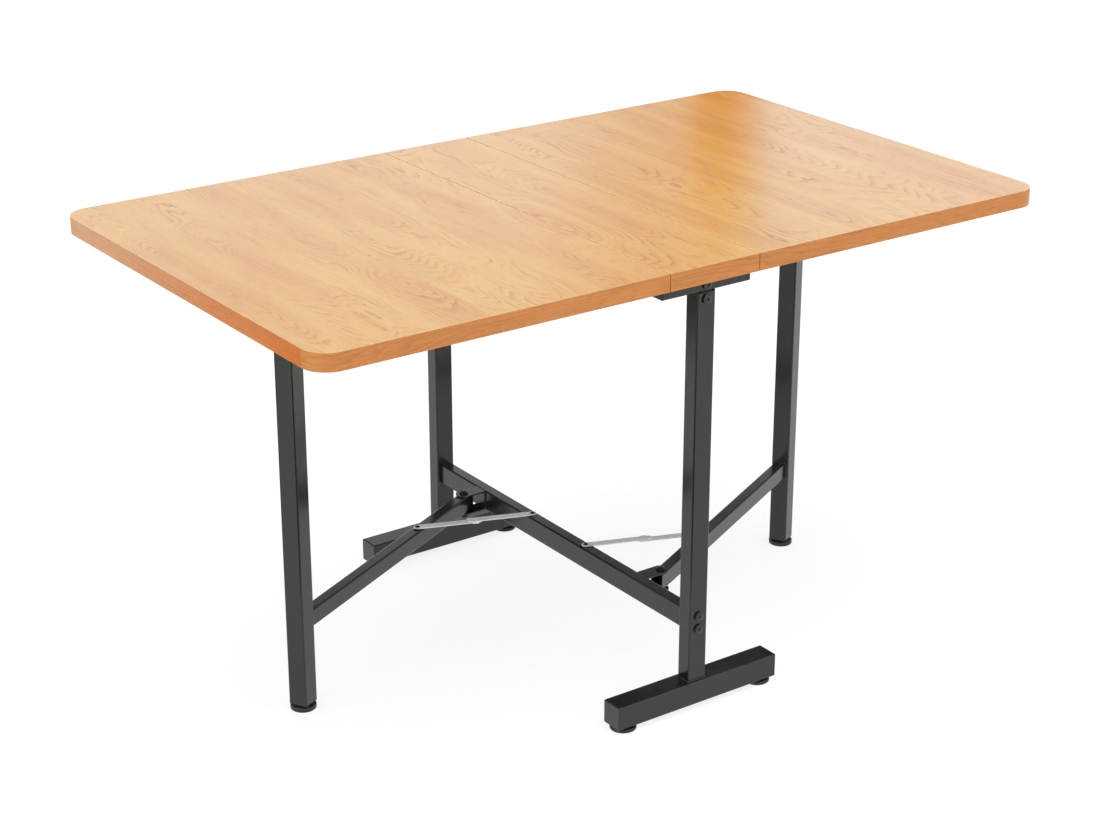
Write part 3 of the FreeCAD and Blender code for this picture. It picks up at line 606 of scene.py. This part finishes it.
def grow(piece, tree, values):
    """Runs a Geometry Nodes tree on a piece and keeps the result as its plain mesh."""
    modifier = piece.modifiers.new(tree.name, "NODES")
    modifier.node_group = tree
    for item in tree.interface.items_tree:
        if item.in_out == "INPUT" and item.name in values:
            modifier[item.identifier] = values[item.name]
    graph = bpy.context.evaluated_depsgraph_get()
    mesh = bpy.data.meshes.new_from_object(piece.evaluated_get(graph))
    piece.modifiers.remove(modifier)
    piece.data = mesh
    return piece


def weld_tree():
    """Geometry Nodes tree that lays a rippled weld bead along the edges of a mesh."""
    inputs = {"Geometry": ["Path"], "Float": ["Bead Width", "Ripple Pitch"], "Int": ["Seed"],
              "Material": ["Material"]}
    wires, given, result = new_group("weld_bead", "GeometryNodeTree", inputs, {"Geometry": ["Bead"]})
    first = wires.first
    least_size, most_size = (0.88, 0.88, 0.62), (1.06, 1.06, 0.80)
    core_share, sides, rings = 0.86, 10, 6
    line = first("GeometryNodeMeshToCurve", {"Mesh": given["Path"]})
    pitch = {"Curve": line, "Length": given["Ripple Pitch"]}
    steps = first("GeometryNodeResampleCurve", pitch, mode="LENGTH")
    radius = wires.math("MULTIPLY", given["Bead Width"], 0.5)
    ripple = first("GeometryNodeMeshUVSphere", {"Segments": sides, "Rings": rings, "Radius": radius})
    tangent = first("GeometryNodeInputTangent")
    turn = first("FunctionNodeAlignRotationToVector", {"Vector": tangent}, axis="Z")
    sizes = {0: least_size, 1: most_size, "Seed": given["Seed"]}
    size = first("FunctionNodeRandomValue", sizes, data_type="FLOAT_VECTOR")
    copies = {"Points": steps, "Instance": ripple, "Rotation": turn, "Scale": size}
    ripples = first("GeometryNodeInstanceOnPoints", copies)
    core_radius = wires.math("MULTIPLY", radius, core_share)
    ring = first("GeometryNodeCurvePrimitiveCircle", {"Resolution": sides, "Radius": core_radius})
    core = first("GeometryNodeCurveToMesh", {"Curve": steps, "Profile Curve": ring, "Fill Caps": True})
    whole = first("GeometryNodeRealizeInstances", {0: wires.joined(ripples, core)})
    smooth = first("GeometryNodeSetShadeSmooth", {0: whole})
    finished = first("GeometryNodeSetMaterial", {"Geometry": smooth, "Material": given["Material"]})
    wires.feed(result["Bead"], finished)
    return wires.tree


def socket_names(group):
    """Settings of a group and the sockets named after them, such as Head Height for head_height."""
    return {entry: entry.replace("_", " ").title() for entry in group.__annotations__}


def screw_tree():
    """Geometry Nodes tree that puts a countersunk, cross-slotted wood screw on each point, pointing up."""
    sizes = ["Head Diameter", "Length", *socket_names(ScrewSizes).values()]
    inputs = {"Geometry": ["Points"], "Float": sizes, "Material": ["Material"]}
    wires, given, result = new_group("wood_screw", "GeometryNodeTree", inputs, {"Geometry": ["Screws"]})
    math_, first = wires.math, wires.first
    head_sides, shank_sides, ridge_sides, steps_in_turn = 32, 16, 4, 14

    def raised(geometry, height):
        place = wires.vector(0.0, 0.0, height)
        return first("GeometryNodeTransform", {"Geometry": geometry, "Translation": place})

    def cone(sides, bottom, top, height):
        rims = {"Vertices": sides, "Radius Bottom": bottom, "Radius Top": top, "Depth": height}
        return first("GeometryNodeMeshCone", rims)

    def arm(x, y):
        return first("GeometryNodeMeshCube", {"Size": wires.vector(given[x], given[y], deep)})

    core = math_("SUBTRACT", math_("MULTIPLY", given["Shank Diameter"], 0.5), given["Thread Height"])
    head_radius = math_("MULTIPLY", given["Head Diameter"], 0.5)
    head = cone(head_sides, head_radius, core, given["Head Height"])
    deep = math_("MULTIPLY", given["Slot Depth"], 2.0)
    cross = wires.joined(arm("Slot Width", "Slot Length"), arm("Slot Length", "Slot Width"))
    cut = {"Mesh 1": head, "Mesh 2": cross, "Self Intersection": True}
    slotted = first("GeometryNodeMeshBoolean", cut, solver="EXACT", operation="DIFFERENCE")

    shank_end = math_("SUBTRACT", given["Length"], given["Tip Length"])
    run = math_("SUBTRACT", shank_end, given["Head Height"])
    shank = first("GeometryNodeMeshCylinder", {"Vertices": shank_sides, "Radius": core, "Depth": run})
    shank = raised(shank, math_("MULTIPLY_ADD", run, 0.5, given["Head Height"]))
    tip = raised(cone(shank_sides, core, 0.0, given["Tip Length"]), shank_end)
    turns = math_("DIVIDE", run, given["Thread Pitch"])
    climb = {"Resolution": steps_in_turn, "Rotations": turns, "Start Radius": core, "End Radius": core,
             "Height": run}
    helix = first("GeometryNodeCurveSpiral", climb)
    rim = {"Resolution": ridge_sides, "Radius": given["Thread Height"]}
    ridge = first("GeometryNodeCurvePrimitiveCircle", rim)
    thread = first("GeometryNodeCurveToMesh", {"Curve": helix, "Profile Curve": ridge, "Fill Caps": True})
    thread = raised(thread, given["Head Height"])

    screw = wires.joined(slotted, shank, tip, thread)
    places = first("GeometryNodeMeshToPoints", {"Mesh": given["Points"]})
    copies = first("GeometryNodeInstanceOnPoints", {"Points": places, "Instance": screw})
    whole = first("GeometryNodeRealizeInstances", {0: copies})
    finished = first("GeometryNodeSetMaterial", {"Geometry": whole, "Material": given["Material"]})
    wires.feed(result["Screws"], finished)
    return wires.tree


def rounded_loop(half_x, half_y, corner, steps=5):
    """Points round a rectangle with rounded corners, about the origin."""
    points = []
    for quarter, (sign_x, sign_y) in enumerate(((1, 1), (-1, 1), (-1, -1), (1, -1))):
        for step in range(steps + 1):
            turn = math.radians(90 * (quarter + step / steps))
            points.append((sign_x * (half_x - corner) + corner * math.cos(turn),
                           sign_y * (half_y - corner) + corner * math.sin(turn)))
    return points


class FOLDING_TABLE_OT_finish_top(bpy.types.Operator):
    """Give the boards their oak print and the edge bands their grain."""

    bl_idname = "folding_table.finish_top"
    bl_label = "Finish the top"

    def execute(self, context):
        scene = context.scene
        dress(nodes_in("oak_board"), oak_laminate(scene.table_oak))
        dress(nodes_in("edge_band"), oak_band(scene.table_oak, scene.table_band))
        return {"FINISHED"}


class FOLDING_TABLE_OT_finish_frame(bpy.types.Operator):
    """Give the steel frame and the gate legs their powder coat."""

    bl_idname = "folding_table.finish_frame"
    bl_label = "Finish the steel frame"

    def execute(self, context):
        dress(nodes_in("charcoal_steel"), powder_coat(context.scene.table_coat))
        return {"FINISHED"}


class FOLDING_TABLE_OT_finish_hardware(bpy.types.Operator):
    """Give bolts, stays, hinges, plugs and glides their surfaces."""

    bl_idname = "folding_table.finish_hardware"
    bl_label = "Finish the hardware"

    def execute(self, context):
        hardware = context.scene.table_hardware
        dress(nodes_in("black_steel"), black_oxide(hardware))
        dress(nodes_in("zinc_steel"), bright_zinc(hardware))
        dress(nodes_in("black_plastic"), moulded_plastic(hardware))
        sprayed = ("rail_bolts", "stretcher_bolts", "foot_end_plugs")
        dress(sprayed, bpy.data.materials["powder_coat"])
        return {"FINISHED"}


class FOLDING_TABLE_OT_add_welds(bpy.types.Operator):
    """Lay weld beads where posts meet feet, brackets meet the stretcher and arms meet legs."""

    bl_idname = "folding_table.add_welds"
    bl_label = "Add weld beads"

    def execute(self, context):
        sizes = context.scene.table_weld
        self.tree = weld_tree()
        self.corner = sizes.tube_corner
        self.values = {"Ripple Pitch": sizes.ripple_pitch, "Seed": sizes.bead_seed,
                       "Material": bpy.data.materials["powder_coat"]}
        loops = [self.post_loop(end) for end in ("near", "far")]
        self.lay("post_welds", loops, sizes.bead_width, "frame")
        lines = [line for side in SIDES for line in self.bracket_lines(side)]
        self.lay("bracket_welds", lines, sizes.bracket_bead, "frame")
        for side in SIDES:
            self.lay(side + "_gate_weld", [self.arm_loop(side)], sizes.bead_width, side + "_gate")
        return {"FINISHED"}

    def lay(self, name, lines, width, body):
        """Makes one bead piece along several lines and lets it ride on its body.

        A line of two points is open, and any longer one is a closed loop.
        """
        points, edges = [], []
        for line in lines:
            first, count = len(points), len(line)
            spans = count if count > 2 else 1
            edges += [(first + i, first + (i + 1) % count) for i in range(spans)]
            points += line
        bead = grow(new_piece(name, points, edges), self.tree, {**self.values, "Bead Width": width})
        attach(bead, body)

    def post_loop(self, end):
        """Loop round the bottom of a post, on the foot."""
        low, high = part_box(end + "_post")
        middle = (low + high) / 2
        half = (high - low) / 2
        loop = rounded_loop(half.x, half.y, self.corner)
        return [Vector((middle.x + x, middle.y + y, low.z)) for x, y in loop]

    def bracket_lines(self, side):
        """Two upright lines where a bracket meets the side of the stretcher."""
        low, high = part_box(side + "_gate_bracket")
        beam_low, beam_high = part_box("stretcher")
        x = beam_low.x if side == "left" else beam_high.x
        inset = Vector((0, 0, self.corner))
        return [(Vector((x, y, low.z)) + inset, Vector((x, y, high.z)) - inset) for y in (low.y, high.y)]

    def arm_loop(self, side):
        """Loop round the end of an arm, on the face of its leg."""
        joint = next(joint for joint in frame["joints"] if joint["child"] == side + "_gate")
        pivot = Vector(joint["pos_m"])
        leg_low, leg_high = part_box(side + "_gate_leg")
        arm_low, arm_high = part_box(side + "_gate_arm")
        leg = (leg_low + leg_high) / 2
        outward = Vector((leg.x - pivot.x, leg.y - pivot.y, 0))
        reach = outward.length
        outward.normalize()
        sideways = Vector((-outward.y, outward.x, 0))
        slant = abs(outward.x) + abs(outward.y)
        leg_half = ((leg_high.x - leg_low.x) / 2 - self.corner) / slant + self.corner
        arm_size = arm_high - arm_low
        half_width = self.arm_half_width(arm_size, outward)
        start = Vector((pivot.x, pivot.y, (arm_low.z + arm_high.z) / 2)) + outward * (reach - leg_half)
        loop = rounded_loop(half_width, arm_size.z / 2, self.corner)
        return [start + sideways * x + Vector((0, 0, z)) for x, z in loop]

    def arm_half_width(self, size, outward):
        """Half the width of an arm, from the box that it fills when it lies at a slant."""
        along, across = abs(outward.x), abs(outward.y)
        determinant = along * along - across * across
        width = (along * size.y - across * size.x) / determinant
        spare = 2 * self.corner * (1 - 1 / (along + across))
        return (width + spare) / 2


class FOLDING_TABLE_OT_add_screws(bpy.types.Operator):
    """Put threaded, cross-slotted wood screws in place of the plain ones."""

    bl_idname = "folding_table.add_screws"
    bl_label = "Add wood screws"

    def execute(self, context):
        sizes = context.scene.table_screw
        tree = screw_tree()
        groups = {"frame": ["hinge_frame_screws", "rail_wood_screws"]}
        for side in SIDES:
            groups[side + "_leaf"] = [side + "_hinge_leaf_screws"]
        for body, plain in groups.items():
            boxes = [box for node in plain for box in solids_of(node)]
            low, high = boxes[0]
            values = {socket: getattr(sizes, entry) for entry, socket in socket_names(ScrewSizes).items()}
            values["Head Diameter"] = high.x - low.x
            values["Length"] = high.z - low.z
            values["Material"] = bpy.data.materials["bright_zinc"]
            places = [Vector(((low.x + high.x) / 2, (low.y + high.y) / 2, low.z)) for low, high in boxes]
            screws = grow(new_piece(body + "_wood_screws", places), tree, values)
            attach(screws, body)
            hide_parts(*plain)
        return {"FINISHED"}


class FOLDING_TABLE_OT_set_stage(bpy.types.Operator):
    """Set up the floor, the backdrop, the lamps, the light of the room and the camera."""

    bl_idname = "folding_table.set_stage"
    bl_label = "Set the stage"

    def execute(self, context):
        studio = context.scene.table_studio
        context.scene.view_settings.view_transform = "Standard"
        self.add_floor()
        self.add_room(context, studio)
        self.add_camera(context, studio)
        self.add_backdrop(studio)
        self.add_dark_mats(studio)
        for name, (place, aim, size) in LAMPS.items():
            self.add_lamp(name, Vector(place), Vector((0, 0, aim)), size, getattr(studio, name + "_level"))
        return {"FINISHED"}

    def seen_directly(self, wires):
        """One for rays from the camera, from gloss and through glass, and nothing for soft light."""
        path = wires.node("ShaderNodeLightPath").outputs
        seen = wires.math("MAXIMUM", path["Is Camera Ray"], path["Is Glossy Ray"])
        return wires.math("MAXIMUM", seen, path["Is Transmission Ray"])

    def add_floor(self):
        """Pale floor that keeps the shadow and runs out to white."""
        reach, below = 30.0, 0.0002
        pale, shadow = 0.80, 0.28
        glow_near, glow_far, near_level = 1.2, 4.0, 0.83
        z = cad_low.z - below
        corners = [(-reach, -reach, z), (reach, -reach, z), (reach, reach, z), (-reach, reach, z)]
        floor = new_piece("floor", corners, faces=[(0, 1, 2, 3)])
        wires = new_finish("pale_floor", floor)
        lit = wires.first("ShaderNodeBsdfDiffuse", {"Color": opaque((pale, pale, pale))})
        shaded = wires.first("ShaderNodeBsdfDiffuse", {"Color": opaque((shadow, shadow, shadow))})
        position = wires.node("ShaderNodeTexCoord").outputs["Object"]
        away = wires.node("ShaderNodeVectorMath", {0: position}, operation="LENGTH").outputs["Value"]
        strength = wires.spread(away, glow_near, glow_far, near_level, 1.0)
        glow = wires.first("ShaderNodeEmission", {"Strength": strength})
        white = wires.first("ShaderNodeAddShader", {0: shaded, 1: glow})
        mixed = wires.first("ShaderNodeMixShader", {0: self.seen_directly(wires), 1: lit, 2: white})
        wires.node("ShaderNodeOutputMaterial", {"Surface": mixed})

    def add_room(self, context, studio):
        """White all round where it is seen, and softer where it only lights the table."""
        world = bpy.data.worlds.new("studio_room")
        wires = empty_tree(world)
        seen = self.seen_directly(wires)
        strength = wires.math("MULTIPLY_ADD", seen, 1.0 - studio.room_level, studio.room_level)
        white = opaque((1.0, 1.0, 1.0))
        light = wires.first("ShaderNodeBackground", {"Color": white, "Strength": strength})
        wires.node("ShaderNodeOutputWorld", {"Surface": light})
        context.scene.world = world

    def add_camera(self, context, studio):
        """Camera at the height and heading of a standing viewer."""
        data = bpy.data.cameras.new("camera")
        data.sensor_fit = "HORIZONTAL"
        data.sensor_width = 36.0
        data.lens = studio.camera_lens
        camera = new_object("camera", data)
        camera.location = studio.camera_place
        camera.rotation_euler = (math.pi / 2 - studio.camera_tilt, 0, -studio.camera_heading)
        context.scene.camera = camera

    def add_lamp(self, name, place, target, size, brightness):
        """Rectangular soft lamp that points at a target. Its power follows from its brightness and area."""
        data = bpy.data.lights.new(name, "AREA")
        data.shape = "RECTANGLE"
        data.size, data.size_y = size
        data.energy = brightness * math.pi * size[0] * size[1]
        lamp = new_object(name, data)
        lamp.location = place
        lamp.rotation_euler = (target - place).to_track_quat("-Z", "Y").to_euler()
        lamp.visible_camera = False

    def add_card(self, name, bottom, top):
        """Card between two rows of points that only gloss sees, with its wiring and its shine's sockets."""
        count = len(bottom)
        faces = [(i, i + 1, count + i + 1, count + i) for i in range(count - 1)]
        card = new_piece(name, bottom + top, faces=faces)
        places = card.data.uv_layers.new(name="card").data
        for loop, place in zip(card.data.loops, places):
            row, column = divmod(loop.vertex_index, count)
            place.uv = (column / (count - 1), row)
        card.visible_camera = False
        card.visible_diffuse = False
        card.visible_shadow = False
        wires = new_finish(name, card)
        shine = wires.node("ShaderNodeEmission")
        wires.node("ShaderNodeOutputMaterial", {"Surface": shine.outputs[0]})
        return wires, shine.inputs

    def card_place(self, wires):
        """Place across a card and up it, from 0 to 1."""
        across, up, _ = wires.parts(wires.node("ShaderNodeTexCoord").outputs["UV"])
        return across, up

    def ramp(self, wires, place, stops):
        """Colour that runs through several stops as a place goes from 0 to 1."""
        made = wires.node("ShaderNodeValToRGB", {0: place})
        marks = made.color_ramp.elements
        while len(marks) < len(stops):
            marks.new(1.0)
        for mark, (position, light) in zip(marks, stops):
            mark.position = position
            mark.color = opaque(light)
        return made.outputs[0]

    def add_backdrop(self, studio):
        """Curved backdrop behind the table, bright on both sides of a dark gap and dimmer on the far left.

        The lacquer mirrors it, so the boards look pale where it is bright and deep amber in the gap,
        which has only a warm glow. Towards the top it fades to almost black.
        """
        first, last, segments, height = -40.0, 75.0, 46, 18.0
        foot = Vector((studio.camera_place[0], studio.camera_place[1], 0))
        turns = [math.radians(first + (last - first) * i / segments) for i in range(segments + 1)]
        ways = [Vector((math.sin(turn), math.cos(turn), 0)) for turn in turns]
        bottom = [foot + studio.backdrop_radius * way for way in ways]
        top = [place + Vector((0, 0, height)) for place in bottom]
        wires, shine = self.add_card("backdrop", bottom, top)
        across, up = self.card_place(wires)

        def place_of(heading):
            return (heading - first) / (last - first)

        gap = math.degrees(studio.gap_heading)
        half_gap = math.degrees(studio.gap_angle) / 2
        left = studio.left_level * Vector(studio.left_tone)
        dim = studio.dim_level * Vector(studio.dim_tone)
        right = studio.right_level * Vector(studio.right_tone)
        dark = Vector((0, 0, 0))
        # Headings in degrees, and the light there.
        lights = ((-20.0, 0.36 * left), (13.0, left), (35.0, left), (37.6, dim),
                  (gap - 1.15 * half_gap, dim), (gap - 0.85 * half_gap, dark),
                  (gap + 0.9 * half_gap, dark), (gap + 1.1 * half_gap, right))
        panels = self.ramp(wires, across, [(place_of(heading), light) for heading, light in lights])
        # Heights in metres, and the light of the gap there.
        glows = ((4.96, (0.66, 0.0, 0.0)), (5.03, (1.05, 0.60, 0.22)), (5.20, (0.90, 0.36, 0.06)),
                 (5.50, (0.94, 0.42, 0.09)), (5.80, (1.0, 0.80, 0.48)), (6.3, (1.02, 0.84, 0.70)))
        glow = self.ramp(wires, up, [(rise / height, light) for rise, light in glows])
        glow_heading = gap - 0.05 * half_gap
        inside = wires.math("COMPARE", across, place_of(glow_heading), half_gap / (last - first))
        in_gap = wires.tint(inside, opaque(dark), glow)
        wires.feed(shine["Color"], wires.tint(1.0, panels, in_gap, "ADD"))

        # The fade starts lower towards the gap.
        left_heading, left_top, right_heading, right_top = 31.0, 7.6, 39.0, 6.7
        fade_height, faded_level = 0.55, 0.03
        start = wires.spread(across, place_of(left_heading), place_of(right_heading), left_top, right_top)
        above = wires.math("SUBTRACT", wires.math("MULTIPLY", up, height), start)
        wires.feed(shine["Strength"], wires.spread(above, 0.0, fade_height, 1.0, faded_level))

    def add_dark_mats(self, studio):
        """Dark mats on the floor that only gloss sees.

        The one before the camera draws the dark lines along the corners of the tubes. The one far to the
        left keeps the short end of the top deep in colour at its near corner.
        """
        lift, mat_level = 0.001, 0.05
        near, far, half_width = 0.75, 3.6, 0.8
        towards = Vector((studio.camera_place[0], studio.camera_place[1], 0)).normalized()
        aside = Vector((-towards.y, towards.x, 0)) * half_width
        raised = Vector((0, 0, lift))
        rows = [[towards * reach + sign * aside + raised for sign in (-1, 1)] for reach in (near, far)]
        wires, shine = self.add_card("near_mat", *rows)
        wires.feed(shine["Strength"], mat_level)

        left, right, front, back = -2.6, -1.1, 0.3, 2.4
        rows = [[Vector((x, y, lift)) for x in (left, right)] for y in (front, back)]
        wires, shine = self.add_card("left_mat", *rows)
        _, up = self.card_place(wires)
        wires.feed(shine["Strength"], wires.spread(up, 0.5, 1.0, mat_level, 1.0))


STEPS = (FOLDING_TABLE_OT_finish_top, FOLDING_TABLE_OT_finish_frame, FOLDING_TABLE_OT_finish_hardware,
         FOLDING_TABLE_OT_add_welds, FOLDING_TABLE_OT_add_screws, FOLDING_TABLE_OT_set_stage)
SETTINGS = {"table_oak": OakFinish, "table_band": BandFinish, "table_coat": CoatFinish,
            "table_hardware": HardwareFinish, "table_weld": WeldSizes, "table_screw": ScrewSizes,
            "table_studio": StudioSettings}


class FOLDING_TABLE_PT_panel(bpy.types.Panel):
    """Lists the steps that dress the table, and their settings."""

    bl_idname = "FOLDING_TABLE_PT_panel"
    bl_label = "Folding table"
    bl_space_type = "VIEW_3D"
    bl_region_type = "UI"
    bl_category = "Folding table"

    def draw(self, context):
        for step in STEPS:
            self.layout.operator(step.bl_idname)
        for name, group in SETTINGS.items():
            box = self.layout.box()
            box.label(text=group.__doc__)
            for entry in group.__annotations__:
                box.prop(getattr(context.scene, name), entry)


def register():
    """Registers the settings, the steps and the panel."""
    for name, group in SETTINGS.items():
        bpy.utils.register_class(group)
        setattr(bpy.types.Scene, name, PointerProperty(type=group))
    for step in (*STEPS, FOLDING_TABLE_PT_panel):
        bpy.utils.register_class(step)


def unregister():
    """Takes the panel, the steps and the settings away again."""
    for step in (FOLDING_TABLE_PT_panel, *reversed(STEPS)):
        bpy.utils.unregister_class(step)
    for name, group in SETTINGS.items():
        delattr(bpy.types.Scene, name)
        bpy.utils.unregister_class(group)


def main():
    """Dresses the table step by step."""
    register()
    bpy.ops.folding_table.finish_top()
    bpy.ops.folding_table.finish_frame()
    bpy.ops.folding_table.finish_hardware()
    bpy.ops.folding_table.add_welds()
    bpy.ops.folding_table.add_screws()
    bpy.ops.folding_table.set_stage()


if __name__ == "__main__":
    main()
